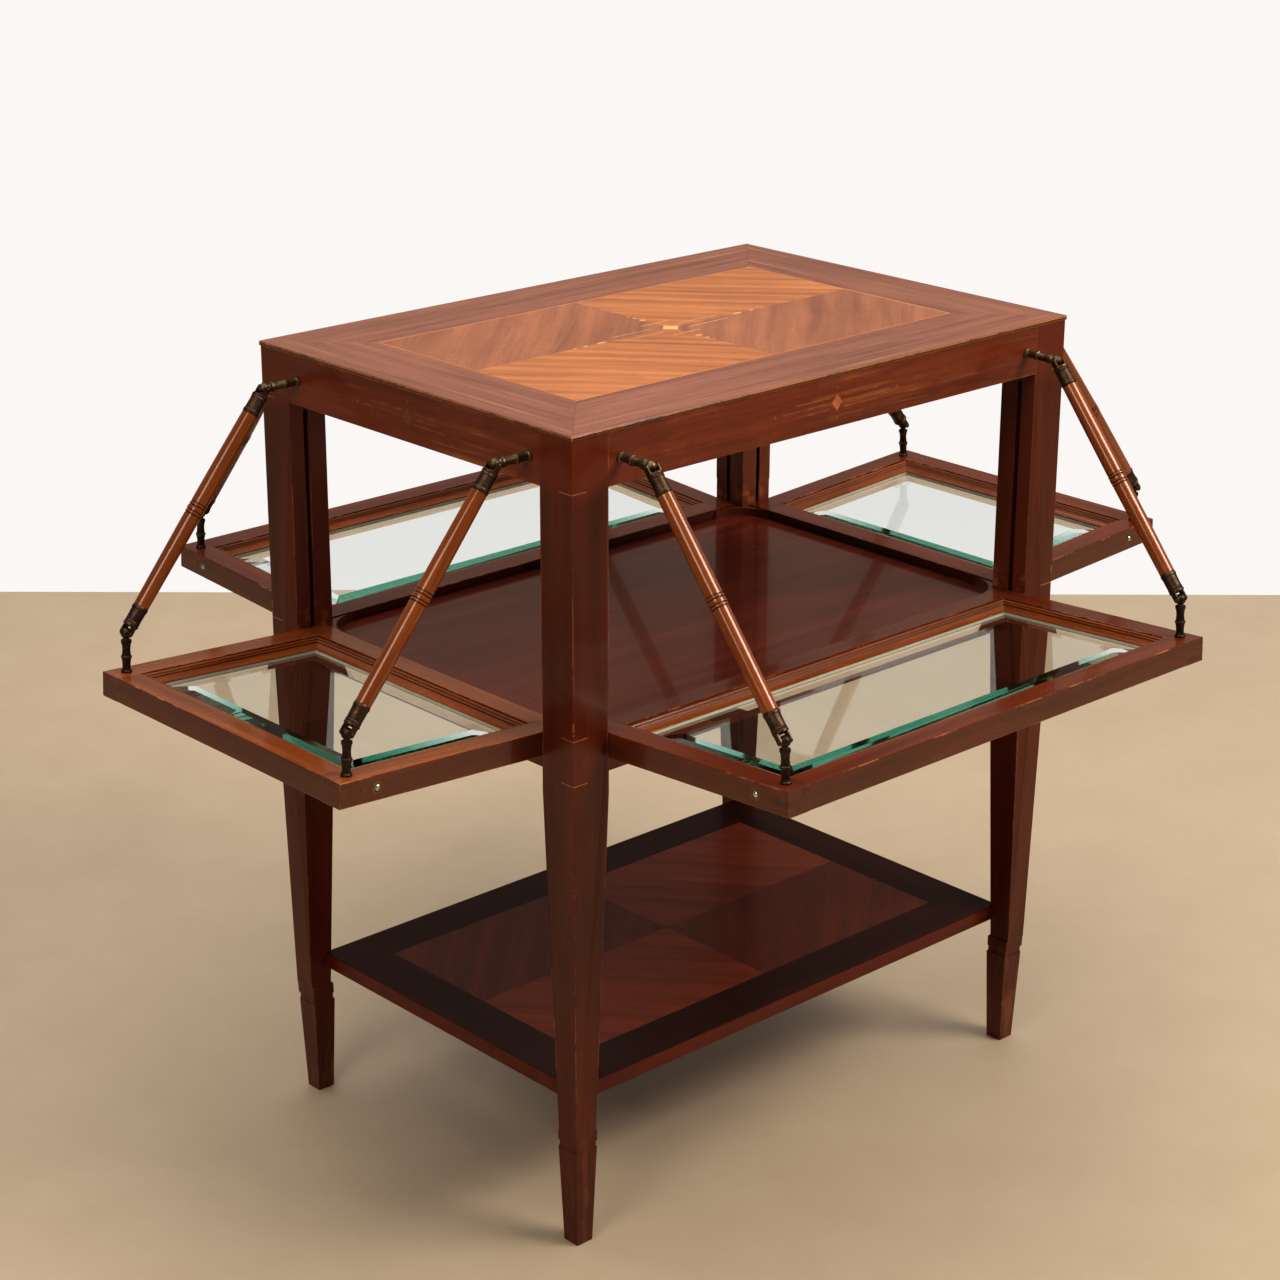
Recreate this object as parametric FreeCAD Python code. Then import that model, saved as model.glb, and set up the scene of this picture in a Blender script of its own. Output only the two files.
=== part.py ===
"""Mahogany display tea table with four rising glazed flaps.

Units are millimetres, +Z is up and the origin is on the floor under the
centre of the table.  X runs along the long side.  Every flap is drawn in its
open position; its two pins sit at the bottom of the grooves in the posts.
"""
import FreeCAD
import Part
import math
import os

V = FreeCAD.Vector

# ---------------------------------------------------------------- driving dimensions
HEIGHT = 762.0            # floor to the top surface
XO, YO = 310.5, 214.0     # half width and half depth over the posts
OVERHANG = 1.0            # the top board stands proud of the posts
POST = 40.0               # square posts
SLAB = 4.5                # visible edge of the top board
VENEER = 0.8              # veneers and bandings
APRON_Z = 711.5           # underside of the aprons
APRON_T = 20.0            # apron thickness

TAPER_Z = 440.0           # legs taper below this height
FOOT_END = 17.8           # spade foot width on the floor

SHELF_Z = 483.0           # middle shelf surface
SHELF_T = 16.0
SHELF_INSET = 31.0        # shelf edge behind the outer faces of the posts
FILLER_R = 40.0           # concave corner fillers round the posts
FILLER_H = 8.0
LOW_Z = 148.0             # lower shelf surface
LOW_T = 15.5
LOW_X, LOW_Y = 285.5, 185.5
LOW_BAND = 48.0           # dark mitred border of the lower shelf

GROOVE = 18.0             # groove centre line behind the outer face of the post
PIN_R = 2.5               # brass pin in each edge of a flap
GROOVE_R = 2.6            # half width of the groove
GROOVE_D = 7.0            # groove depth
PIN_OPEN_Z = 481.4        # pin height with the flap open
PIN_SHUT_Z = 699.8        # pin height with the flap shut
TILT = 3.3                # an open flap rises slightly outwards (degrees)

FLAP_T = 22.4             # flap thickness
FLAP_IN = 11.0            # flap edge beyond the pins
FLAP_OUT = 231.1          # flap edge on the far side of the pins
FLAP_GAP = 0.8            # flap to post, each side
MEMBER = 24.0             # flat width of the flap frame members
BEAD = 13.0                # moulded bead round the glass
GLASS_TOP = 2.2           # glass surface above the middle of the flap
GLASS_T = 6.0
BEVEL = 21.0              # width of the bevel on the glass

STUD_LEN = 36.0           # face to ball centre, all studs
STUD_SIDE = 14.0          # stud line inside the edge of the opening
STUD_END = 16.0           # flap stud from the outer edge of the flap
APRON_STUD_Z = 734.3
BALL_R = 5.0
CHEEK_GAP = 5.2           # half gap between the fork cheeks
FERRULE_GAP = 6.5         # ball centre to the end of the ferrule
FERRULE_L = 20.0

CATCH_U = 193.0           # ball catch from the pins
CATCH_R = 3.5             # catch ball
CATCH_PROUD = 1.1         # the ball stands out of the flap edge
CATCH_TRAVEL = 1.1

SIDES = {"front": 0.0, "right": 90.0, "back": 180.0, "left": 270.0}


# ---------------------------------------------------------------- small helpers
def box(x0, x1, y0, y1, z0, z1):
    """Axis-aligned block between two corners."""
    return Part.makeBox(x1 - x0, y1 - y0, z1 - z0, V(x0, y0, z0))


def prism(points, z0, z1):
    """Vertical prism over a closed polygon."""
    pts = [V(x, y, z0) for x, y in points]
    face = Part.Face(Part.makePolygon(pts + [pts[0]]))
    return face.extrude(V(0, 0, z1 - z0))


def tapered(low, high):
    """Solid with flat faces between two four-cornered outlines, given in the same order."""
    def face(points):
        return Part.Face(Part.makePolygon(points + [points[0]]))
    faces = [face(low), face(high)]
    for i in range(4):
        j = (i + 1) % 4
        faces.append(face([low[i], low[j], high[j], high[i]]))
    return Part.Solid(Part.Shell(faces))


def rect(x0, x1, y0, y1, z):
    """Corners of a level rectangle."""
    return [V(x0, y0, z), V(x1, y0, z), V(x1, y1, z), V(x0, y1, z)]


def frustum(cx, cy, z0, w0, z1, w1):
    """Square block centred on a vertical axis whose width changes with height."""
    def ring(z, w):
        return rect(cx - w / 2, cx + w / 2, cy - w / 2, cy + w / 2, z)
    return tapered(ring(z0, w0), ring(z1, w1))


def turned(profile, base, direction):
    """Solid of revolution: profile is a list of (distance, radius) along an axis."""
    pts = [V(profile[0][0], 0, 0)]
    pts += [V(d, r, 0) for d, r in profile]
    pts += [V(profile[-1][0], 0, 0)]
    clean = [pts[0]]
    for p in pts[1:]:
        if (p - clean[-1]).Length > 1e-6:
            clean.append(p)
    face = Part.Face(Part.makePolygon(clean + [clean[0]]))
    solid = face.revolve(V(0, 0, 0), V(1, 0, 0), 360)
    return place(solid, V(1, 0, 0), direction, base)


def place(shape, from_dir, to_dir, base):
    """Turn a shape from one direction to another and move it to a base point."""
    out = shape.copy()
    out.Placement = FreeCAD.Placement(base, FreeCAD.Rotation(from_dir, to_dir))
    return out


def cylinder(r, length, base, direction):
    """Cylinder that starts at a base point."""
    return Part.makeCylinder(r, length, base, direction)


def bag(shapes):
    """Several separate solids kept in one node."""
    solids = []
    for s in shapes:
        solids += s.Solids
    return Part.makeCompound(solids)


def side_view(shape, name):
    """Carry a piece drawn for the front opening round to its own side."""
    out = shape.copy()
    out.rotate(V(0, 0, 0), V(0, 0, 1), SIDES[name])
    return out


def opening(name):
    """Half width between the posts and distance of the outer face for one side."""
    if name in ("front", "back"):
        return XO - POST, YO
    return YO - POST, XO


def open_pose(shape, name):
    """Set a flap piece (drawn flat about its pins, outwards = -Y) in its open position."""
    _, face = opening(name)
    out = shape.copy()
    out.rotate(V(0, 0, 0), V(1, 0, 0), -TILT)
    out.translate(V(0, -(face - GROOVE), PIN_OPEN_Z))
    return side_view(out, name)


parts = {}

# ---------------------------------------------------------------- legs
# Height, width and outward shift of the leg section.  The leg tapers more on its two
# inner faces; below the ankle come a square block, a fine neck and the spade foot.
LEG_PROFILE = [(0.0, FOOT_END, 0.0), (96.2, 24.4, 0.4), (97.0, 23.6, 0.4), (97.6, 22.7, 0.6), (102.0, 22.7, 0.7),
               (103.0, 24.6, 0.9), (113.4, 24.8, 1.1), (114.8, 23.4, 2.1), (TAPER_Z, POST, 0.0)]


def leg(sx, sy):
    """One leg: square post, long taper, neck and spade foot, with its grooves."""
    def ring(z, w, out):
        x, y = sx * (XO - POST / 2 + out), sy * (YO - POST / 2 + out)
        return rect(x - w / 2, x + w / 2, y - w / 2, y + w / 2, z)
    cx, cy = sx * (XO - POST / 2), sy * (YO - POST / 2)
    body = frustum(cx, cy, TAPER_Z, POST, HEIGHT - SLAB, POST)
    for low, high in zip(LEG_PROFILE, LEG_PROFILE[1:]):
        body = body.fuse(tapered(ring(*low), ring(*high)))
    # pin grooves in the two faces that look along the openings
    gx, gy = sx * (XO - GROOVE), sy * (YO - GROOVE)
    z0, z1 = PIN_OPEN_Z - 0.1, PIN_SHUT_Z + 0.2
    xf, yf = sx * (XO - POST), sy * (YO - POST)
    slot_x = box(min(xf, xf + sx * GROOVE_D), max(xf, xf + sx * GROOVE_D),
                 gy - GROOVE_R, gy + GROOVE_R, z0, z1)
    slot_y = box(gx - GROOVE_R, gx + GROOVE_R,
                 min(yf, yf + sy * GROOVE_D), max(yf, yf + sy * GROOVE_D), z0, z1)
    body = body.cut(slot_x).cut(slot_y)
    for z in (z0, z1):
        body = body.cut(cylinder(GROOVE_R, GROOVE_D, V(xf, gy, z), V(sx, 0, 0)))
        body = body.cut(cylinder(GROOVE_R, GROOVE_D, V(gx, yf, z), V(0, sy, 0)))
    # shallow lead-ins that let the catch balls reach the grooves
    zc = PIN_SHUT_Z - CATCH_U
    y_edge, x_edge = sy * YO, sx * XO
    body = body.cut(box(min(xf, xf + sx * 0.7), max(xf, xf + sx * 0.7),
                        min(gy, y_edge), max(gy, y_edge), zc - 20.0, zc + 8.0))
    body = body.cut(box(min(gx, x_edge), max(gx, x_edge),
                        min(yf, yf + sy * 0.7), max(yf, yf + sy * 0.7), zc - 20.0, zc + 8.0))
    return body


CORNERS = {"front_left": (-1, -1), "front_right": (1, -1), "back_right": (1, 1), "back_left": (-1, 1)}
legs = {name: leg(sx, sy) for name, (sx, sy) in CORNERS.items()}


# ---------------------------------------------------------------- aprons and their inlay
def apron(name):
    """Apron between two posts with a stub tenon at each end."""
    half, face = opening(name)
    board = box(-half, half, -face, -face + APRON_T, APRON_Z, HEIGHT - SLAB)
    for s in (-1, 1):
        x0, x1 = sorted((s * half, s * (half + 14.0)))
        board = board.fuse(box(x0, x1, -face + 6.0, -face + 14.0, APRON_Z + 8.0, HEIGHT - SLAB - 8.0))
    return side_view(board, name)


def motif_pieces(depth):
    """Diamond, tiers of fine lines and dots, drawn flat in XZ and 'depth' thick."""
    out = []
    w, h = 6.4, 7.4
    pts = [V(-w, 0, 0), V(0, 0, -h), V(w, 0, 0), V(0, 0, h)]
    out.append(Part.Face(Part.makePolygon(pts + [pts[0]])).extrude(V(0, depth, 0)))
    for s in (-1, 1):
        for dz, a, b in ((0.0, 13.0, 69.0), (5.2, 9.5, 52.0), (-5.2, 9.5, 52.0)):
            x0, x1 = sorted((s * a, s * b))
            out.append(box(x0, x1, 0, depth, dz - 0.45, dz + 0.45))
        out.append(cylinder(1.3, depth, V(s * 77.0, 0, 0), V(0, 1, 0)))
        out.append(cylinder(1.1, depth, V(0, 0, s * 13.5), V(0, 1, 0)))
    return out


apron_shapes, inlay_shapes = {}, []
for side in SIDES:
    half, face = opening(side)
    board = apron(side)
    for piece in motif_pieces(0.6):
        piece = piece.copy()
        piece.translate(V(0, -face, APRON_STUD_Z - 0.3))
        piece = side_view(piece, side)
        board = board.cut(piece)
        inlay_shapes.append(piece)
    apron_shapes[side] = board
for name, (sx, sy) in CORNERS.items():
    for side in SIDES:
        legs[name] = legs[name].cut(apron_shapes[side])


# ---------------------------------------------------------------- leg inlay
def leg_strings(sx, sy):
    """Fine strings that wrap the outer arris of a post, with a short upright line."""
    out = []
    x, y = sx * XO, sy * YO
    for z in (712.0, 496.0, 455.0):
        outer = prism([(x, y), (x - sx * 16, y), (x - sx * 16, y - sy * 0.6), (x - sx * 0.6, y - sy * 0.6),
                       (x - sx * 0.6, y - sy * 16), (x, y - sy * 16)], z - 0.45, z + 0.45)
        out.append(outer)
    for z0, z1 in ((501.0, 503.0), (505.0, 513.0)):
        out.append(prism([(x, y), (x - sx * 1.2, y), (x, y - sy * 1.2)], z0, z1))
    return out


for name, (sx, sy) in CORNERS.items():
    for piece in leg_strings(sx, sy):
        legs[name] = legs[name].cut(piece)
        inlay_shapes.append(piece)


# ---------------------------------------------------------------- top board, veneers and lines
TX, TY = XO + OVERHANG, YO + OVERHANG
FIELD_X, FIELD_Y = 234.0, 134.0
LINE = 1.6
core = box(-(XO - APRON_T), XO - APRON_T, -(YO - APRON_T), YO - APRON_T, 744.0, HEIGHT - SLAB)
for shape in legs.values():
    core = core.cut(shape)
slab = box(-TX, TX, -TY, TY, HEIGHT - SLAB, HEIGHT - VENEER)
slab = slab.makeFillet(1.0, [e for e in slab.Edges if abs(e.BoundBox.ZMax - (HEIGHT - SLAB)) < 1e-6
                             and abs(e.BoundBox.ZMin - (HEIGHT - SLAB)) < 1e-6])
top_board = slab.fuse(core).removeSplitter()


def mitred_frame(ox, oy, ix, iy, z0, z1):
    """Four mitred strips between an outer and an inner rectangle."""
    return [prism([(-ox, -oy), (ox, -oy), (ix, -iy), (-ix, -iy)], z0, z1),
            prism([(ox, -oy), (ox, oy), (ix, iy), (ix, -iy)], z0, z1),
            prism([(ox, oy), (-ox, oy), (-ix, iy), (ix, iy)], z0, z1),
            prism([(-ox, oy), (-ox, -oy), (-ix, -iy), (-ix, iy)], z0, z1)]


Z0, Z1 = HEIGHT - VENEER, HEIGHT
top_banding = bag(mitred_frame(TX, TY, FIELD_X + LINE, FIELD_Y + LINE, Z0, Z1))
top_lines = mitred_frame(FIELD_X + LINE, FIELD_Y + LINE, FIELD_X, FIELD_Y, Z0, Z1)

def lozenge(dx, dy, w, h):
    """Diamond of pale wood let into the top, w and h are its half diagonals."""
    return prism([(dx - w, dy), (dx, dy - h), (dx + w, dy), (dx, dy + h)], Z0, Z1)


motif = [lozenge(0.0, 0.0, 9.8, 9.8)]
for s in (-1, 1):
    motif += [lozenge(s * 86.0, 0.0, 7.4, 2.8), lozenge(s * 105.0, 0.0, 3.4, 1.9), lozenge(s * 118.0, 0.0, 2.0, 1.4),
              lozenge(0.0, s * 38.0, 4.6, 3.4), lozenge(0.0, s * 49.5, 2.6, 2.2), lozenge(0.0, s * 58.0, 1.6, 1.4),
              box(-17.0, 17.0, s * 22.0 - 0.6, s * 22.0 + 0.6, Z0, Z1)]
    for t in (-1, 1):
        x0, x1 = sorted((t * 16.0, t * 66.0))
        motif.append(box(x0, x1, s * 7.8 - 0.6, s * 7.8 + 0.6, Z0, Z1))
leaves = [box(-FIELD_X, 0, -FIELD_Y, 0, Z0, Z1), box(0, FIELD_X, -FIELD_Y, 0, Z0, Z1),
          box(0, FIELD_X, 0, FIELD_Y, Z0, Z1), box(-FIELD_X, 0, 0, FIELD_Y, Z0, Z1)]
motif_all = motif[0].fuse(motif[1:])
leaves = [leaf.cut(motif_all) for leaf in leaves]


# ---------------------------------------------------------------- middle shelf
SX, SY = XO - SHELF_INSET, YO - SHELF_INSET


def plain_post(sx, sy):
    """Square prism of a post, used to notch the shelves."""
    x0, x1 = sorted((sx * (XO - POST), sx * XO))
    y0, y1 = sorted((sy * (YO - POST), sy * YO))
    return box(x0, x1, y0, y1, 0.0, HEIGHT)


posts_plain = [plain_post(sx, sy) for sx, sy in CORNERS.values()]
shelf = box(-SX, SX, -SY, SY, SHELF_Z - SHELF_T, SHELF_Z)
for post in posts_plain:
    shelf = shelf.cut(post)


def rounded_outline(hx, hy, r, z0, z1):
    """Rectangle with rounded corners as a prism."""
    blk = box(-hx, hx, -hy, hy, z0, z1)
    edges = [e for e in blk.Edges if abs(e.BoundBox.ZLength - (z1 - z0)) < 1e-6]
    return blk.makeFillet(r, edges)


line_out = rounded_outline(SX - 30.0, SY - 30.0, 26.0, SHELF_Z - 0.6, SHELF_Z)
line_in = rounded_outline(SX - 31.2, SY - 31.2, 24.8, SHELF_Z - 0.6, SHELF_Z)
shelf_line = line_out.cut(line_in)
shelf = shelf.cut(shelf_line)
inlay_shapes.append(shelf_line)

tray = rounded_outline(SX, SY, FILLER_R, SHELF_Z - 1.0, SHELF_Z + FILLER_H + 1.0)
fill_block = box(-SX, SX, -SY, SY, SHELF_Z, SHELF_Z + FILLER_H).cut(tray)
for post in posts_plain:
    fill_block = fill_block.cut(post)
shelf_fillers = bag(fill_block.Solids)


def shelf_rail(name, z0, z1):
    """Rail under the shelf edge with a stub tenon in each post."""
    half, face = opening(name)
    y0 = -face + SHELF_INSET
    rail = box(-half, half, y0, y0 + 9.0, TAPER_Z + 2.0, SHELF_Z - SHELF_T)
    for s in (-1, 1):
        x0, x1 = sorted((s * half, s * (half + 12.0)))
        rail = rail.fuse(box(x0, x1, y0 + 2.0, y0 + 7.0, z0, z1))
    return side_view(rail, name)


rails = [shelf_rail("front", 457, 465), shelf_rail("back", 457, 465),
         shelf_rail("left", 445, 453), shelf_rail("right", 445, 453)]
for name in legs:
    for rail in rails:
        legs[name] = legs[name].cut(rail)

# ---------------------------------------------------------------- lower shelf
low_board = box(-LOW_X, LOW_X, -LOW_Y, LOW_Y, LOW_Z - LOW_T, LOW_Z - VENEER)
low_band = mitred_frame(LOW_X, LOW_Y, LOW_X - LOW_BAND, LOW_Y - LOW_BAND, LOW_Z - VENEER, LOW_Z)
lx, ly = LOW_X - LOW_BAND, LOW_Y - LOW_BAND
low_leaves = [box(-lx, 0, -ly, 0, LOW_Z - VENEER, LOW_Z), box(0, lx, -ly, 0, LOW_Z - VENEER, LOW_Z),
              box(0, lx, 0, ly, LOW_Z - VENEER, LOW_Z), box(-lx, 0, 0, ly, LOW_Z - VENEER, LOW_Z)]
for name, (sx, sy) in CORNERS.items():
    low_board = low_board.cut(legs[name])
    low_band = [s.cut(legs[name]) for s in low_band]
for name, (sx, sy) in CORNERS.items():
    # stub tenon in the notched corner of the shelf, let into the inner arris of the leg
    (x0, x1), (y0, y1) = sorted((sx * 276.0, sx * 292.0)), sorted((sy * 178.0, sy * 192.0))
    tenon = box(x0, x1, y0, y1, LOW_Z - 11.0, LOW_Z - 4.0)
    tenon = tenon.common(legs[name])
    legs[name] = legs[name].cut(tenon)
    low_board = low_board.fuse(tenon)
low_board = low_board.removeSplitter()

# ---------------------------------------------------------------- blocks and screws inside the frieze
blocks, screws = [], []
for sx, sy in CORNERS.values():
    x, y = sx * (XO - APRON_T), sy * (YO - APRON_T)
    blk = prism([(x - sx * 20, y), (x - sx * 62, y), (x, y - sy * 62), (x, y - sy * 20),
                 (x - sx * 20, y - sy * 20)], 720.0, 744.0)
    cx, cy = x - sx * 28, y - sy * 28
    screw = cylinder(2.0, 20.0, V(cx, cy, 734.0), V(0, 0, 1))
    screw = screw.fuse(Part.makeCone(4.0, 2.0, 3.0, V(cx, cy, 731.0), V(0, 0, 1)))
    way = cylinder(4.2, 11.0, V(cx, cy, 720.0), V(0, 0, 1))
    blocks.append(blk.cut(way).cut(screw))
    screws.append(screw)
    top_board = top_board.cut(screw)


# ---------------------------------------------------------------- turned studs
STUD_PROFILE = [(0.0, 4.8), (1.6, 4.8), (2.6, 3.9), (4.4, 3.5), (9.0, 3.7), (13.0, 4.3), (13.6, 4.8),
                (15.0, 4.8), (15.6, 4.0), (21.0, 3.5), (26.0, 4.0), (27.4, 4.7), (29.6, 4.7),
                (30.2, 3.2), (31.6, 2.6), (36.0, 2.6)]


def stud(base, direction, through_axis):
    """Turned stud with a ball end; a fine hole takes the cross pin of the fork."""
    body = turned(STUD_PROFILE, base, direction)
    tip = base + direction * STUD_LEN
    body = body.fuse(Part.makeSphere(BALL_R, tip))
    screw = cylinder(1.8, 10.0, base - direction * 10.0, direction)
    body = body.fuse(screw)
    if through_axis is not None:
        body = body.cut(cylinder(1.25, 14.0, tip - through_axis * 7.0, through_axis))
    return body


apron_studs = []
for side in SIDES:
    half, face = opening(side)
    for s in (-1, 1):
        piece = stud(V(s * (half - STUD_SIDE), -face, APRON_STUD_Z), V(0, -1, 0), V(1, 0, 0))
        piece = side_view(piece, side)
        apron_shapes[side] = apron_shapes[side].cut(piece)
        apron_studs.append(piece)


# ---------------------------------------------------------------- stays
def stay_geometry(name):
    """Ball centres of one stay in the plane of the front opening: upper, lower, length."""
    _, face = opening(name)
    t = math.radians(TILT)
    u, n = FLAP_OUT - STUD_END, FLAP_T / 2 + STUD_LEN
    lower_y = -(face - GROOVE) - (u * math.cos(t) - n * math.sin(t))
    lower_z = PIN_OPEN_Z + u * math.sin(t) + n * math.cos(t)
    return (-face - STUD_LEN, APRON_STUD_Z), (lower_y, lower_z)


ROD = [(0.0, 6.2), (0.04, 6.6), (0.2, 7.1), (0.36, 7.5), (0.46, 7.7), (0.4601, 7.2), (0.466, 7.0),
       (0.472, 7.5), (0.478, 7.9), (0.484, 7.5), (0.49, 7.0), (0.5, 7.9), (0.51, 7.0), (0.516, 7.5),
       (0.522, 7.9), (0.528, 7.5), (0.534, 7.0), (0.54, 7.2), (0.5401, 7.7), (0.64, 7.5), (0.8, 7.1),
       (0.96, 6.6), (1.0, 6.2)]


def ferrule(base, direction, cross, pinned):
    """Brass ferrule: sleeve with rings, closed end and a fork for the ball of a stud."""
    sleeve = [(FERRULE_GAP, 5.4), (FERRULE_GAP + 0.8, 7.2), (FERRULE_GAP + 2.4, 7.2),
              (FERRULE_GAP + 3.0, 6.7), (FERRULE_GAP + 4.2, 7.1), (FERRULE_GAP + 5.4, 6.7),
              (FERRULE_GAP + 16.0, 6.9), (FERRULE_GAP + 17.0, 7.4), (FERRULE_GAP + 18.6, 7.4),
              (FERRULE_GAP + FERRULE_L, 6.9)]
    body = turned(sleeve, base, direction)
    body = body.cut(cylinder(6.2, 40.0, base + direction * (FERRULE_GAP + 3.0), direction))
    # two cheeks that pass either side of the ball
    normal = cross.cross(direction)
    for s in (-1, 1):
        tab = Part.makeBox(FERRULE_GAP + 2.0, 5.2, 1.5, V(0, -2.6, 0))
        tab = tab.fuse(cylinder(2.6, 1.5, V(0, 0, 0), V(0, 0, 1)))
        m = FreeCAD.Matrix(direction.x, normal.x, cross.x, 0, direction.y, normal.y, cross.y, 0,
                           direction.z, normal.z, cross.z, 0, 0, 0, 0, 1)
        offset = CHEEK_GAP if s > 0 else -CHEEK_GAP - 1.5
        tab.Placement = FreeCAD.Placement(m)
        tab.translate(base + cross * offset)
        body = body.fuse(tab)
        rivet = turned([(0.0, 1.6), (0.5, 1.5), (0.9, 0.8), (1.0, 0.01)],
                       base + cross * (s * (CHEEK_GAP + 1.5)), cross * s)
        body = body.fuse(rivet)
    if pinned:
        body = body.fuse(cylinder(1.2, 2 * CHEEK_GAP + 1.0, base - cross * (CHEEK_GAP + 0.5), cross))
    return body


def stays(name):
    """Both wooden stays of one side and their four ferrules."""
    half, _ = opening(name)
    (uy, uz), (ly, lz) = stay_geometry(name)
    rods, ends = [], []
    for s in (-1, 1):
        x = s * (half - STUD_SIDE)
        a, b = V(x, uy, uz), V(x, ly, lz)
        d = b - a
        length = d.Length
        d.normalize()
        inner = length - 2 * (FERRULE_GAP + 3.0)
        rods.append(side_view(turned([(t * inner, r) for t, r in ROD],
                                     a + d * (FERRULE_GAP + 3.0), d), name))
        ends.append(side_view(ferrule(a, d, V(1, 0, 0), True), name))
        ends.append(side_view(ferrule(b, d * -1, V(1, 0, 0), False), name))
    wood = []
    for rod in rods:
        for end in ends:
            rod = rod.cut(end)
        wood.append(rod)
    return bag(wood), bag(ends)


# ---------------------------------------------------------------- flaps
def bead_profile_solids(hx, y0, y1, section):
    """Mitred moulding inside the rectangle |x|<hx, y0<y<y1; section is (inwards, z)."""
    out = []
    cx, cy = 0.0, (y0 + y1) / 2.0
    hy = (y1 - y0) / 2.0
    for k in range(4):
        long_, off = (hx, hy) if k % 2 == 0 else (hy, hx)
        pts = [V(-long_ - 1, -off + i, z) for i, z in section]
        bar = Part.Face(Part.makePolygon(pts + [pts[0]])).extrude(V(2 * long_ + 2, 0, 0))
        depth = max(i for i, _ in section)
        keep = prism([(-long_, -off), (long_, -off), (long_ - depth - 1, -off + depth + 1),
                      (-long_ + depth + 1, -off + depth + 1)], -20, 20)
        bar = bar.common(keep)
        bar.rotate(V(0, 0, 0), V(0, 0, 1), 90 * k)
        bar.translate(V(cx, cy, 0))
        out.append(bar)
    return out


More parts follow.
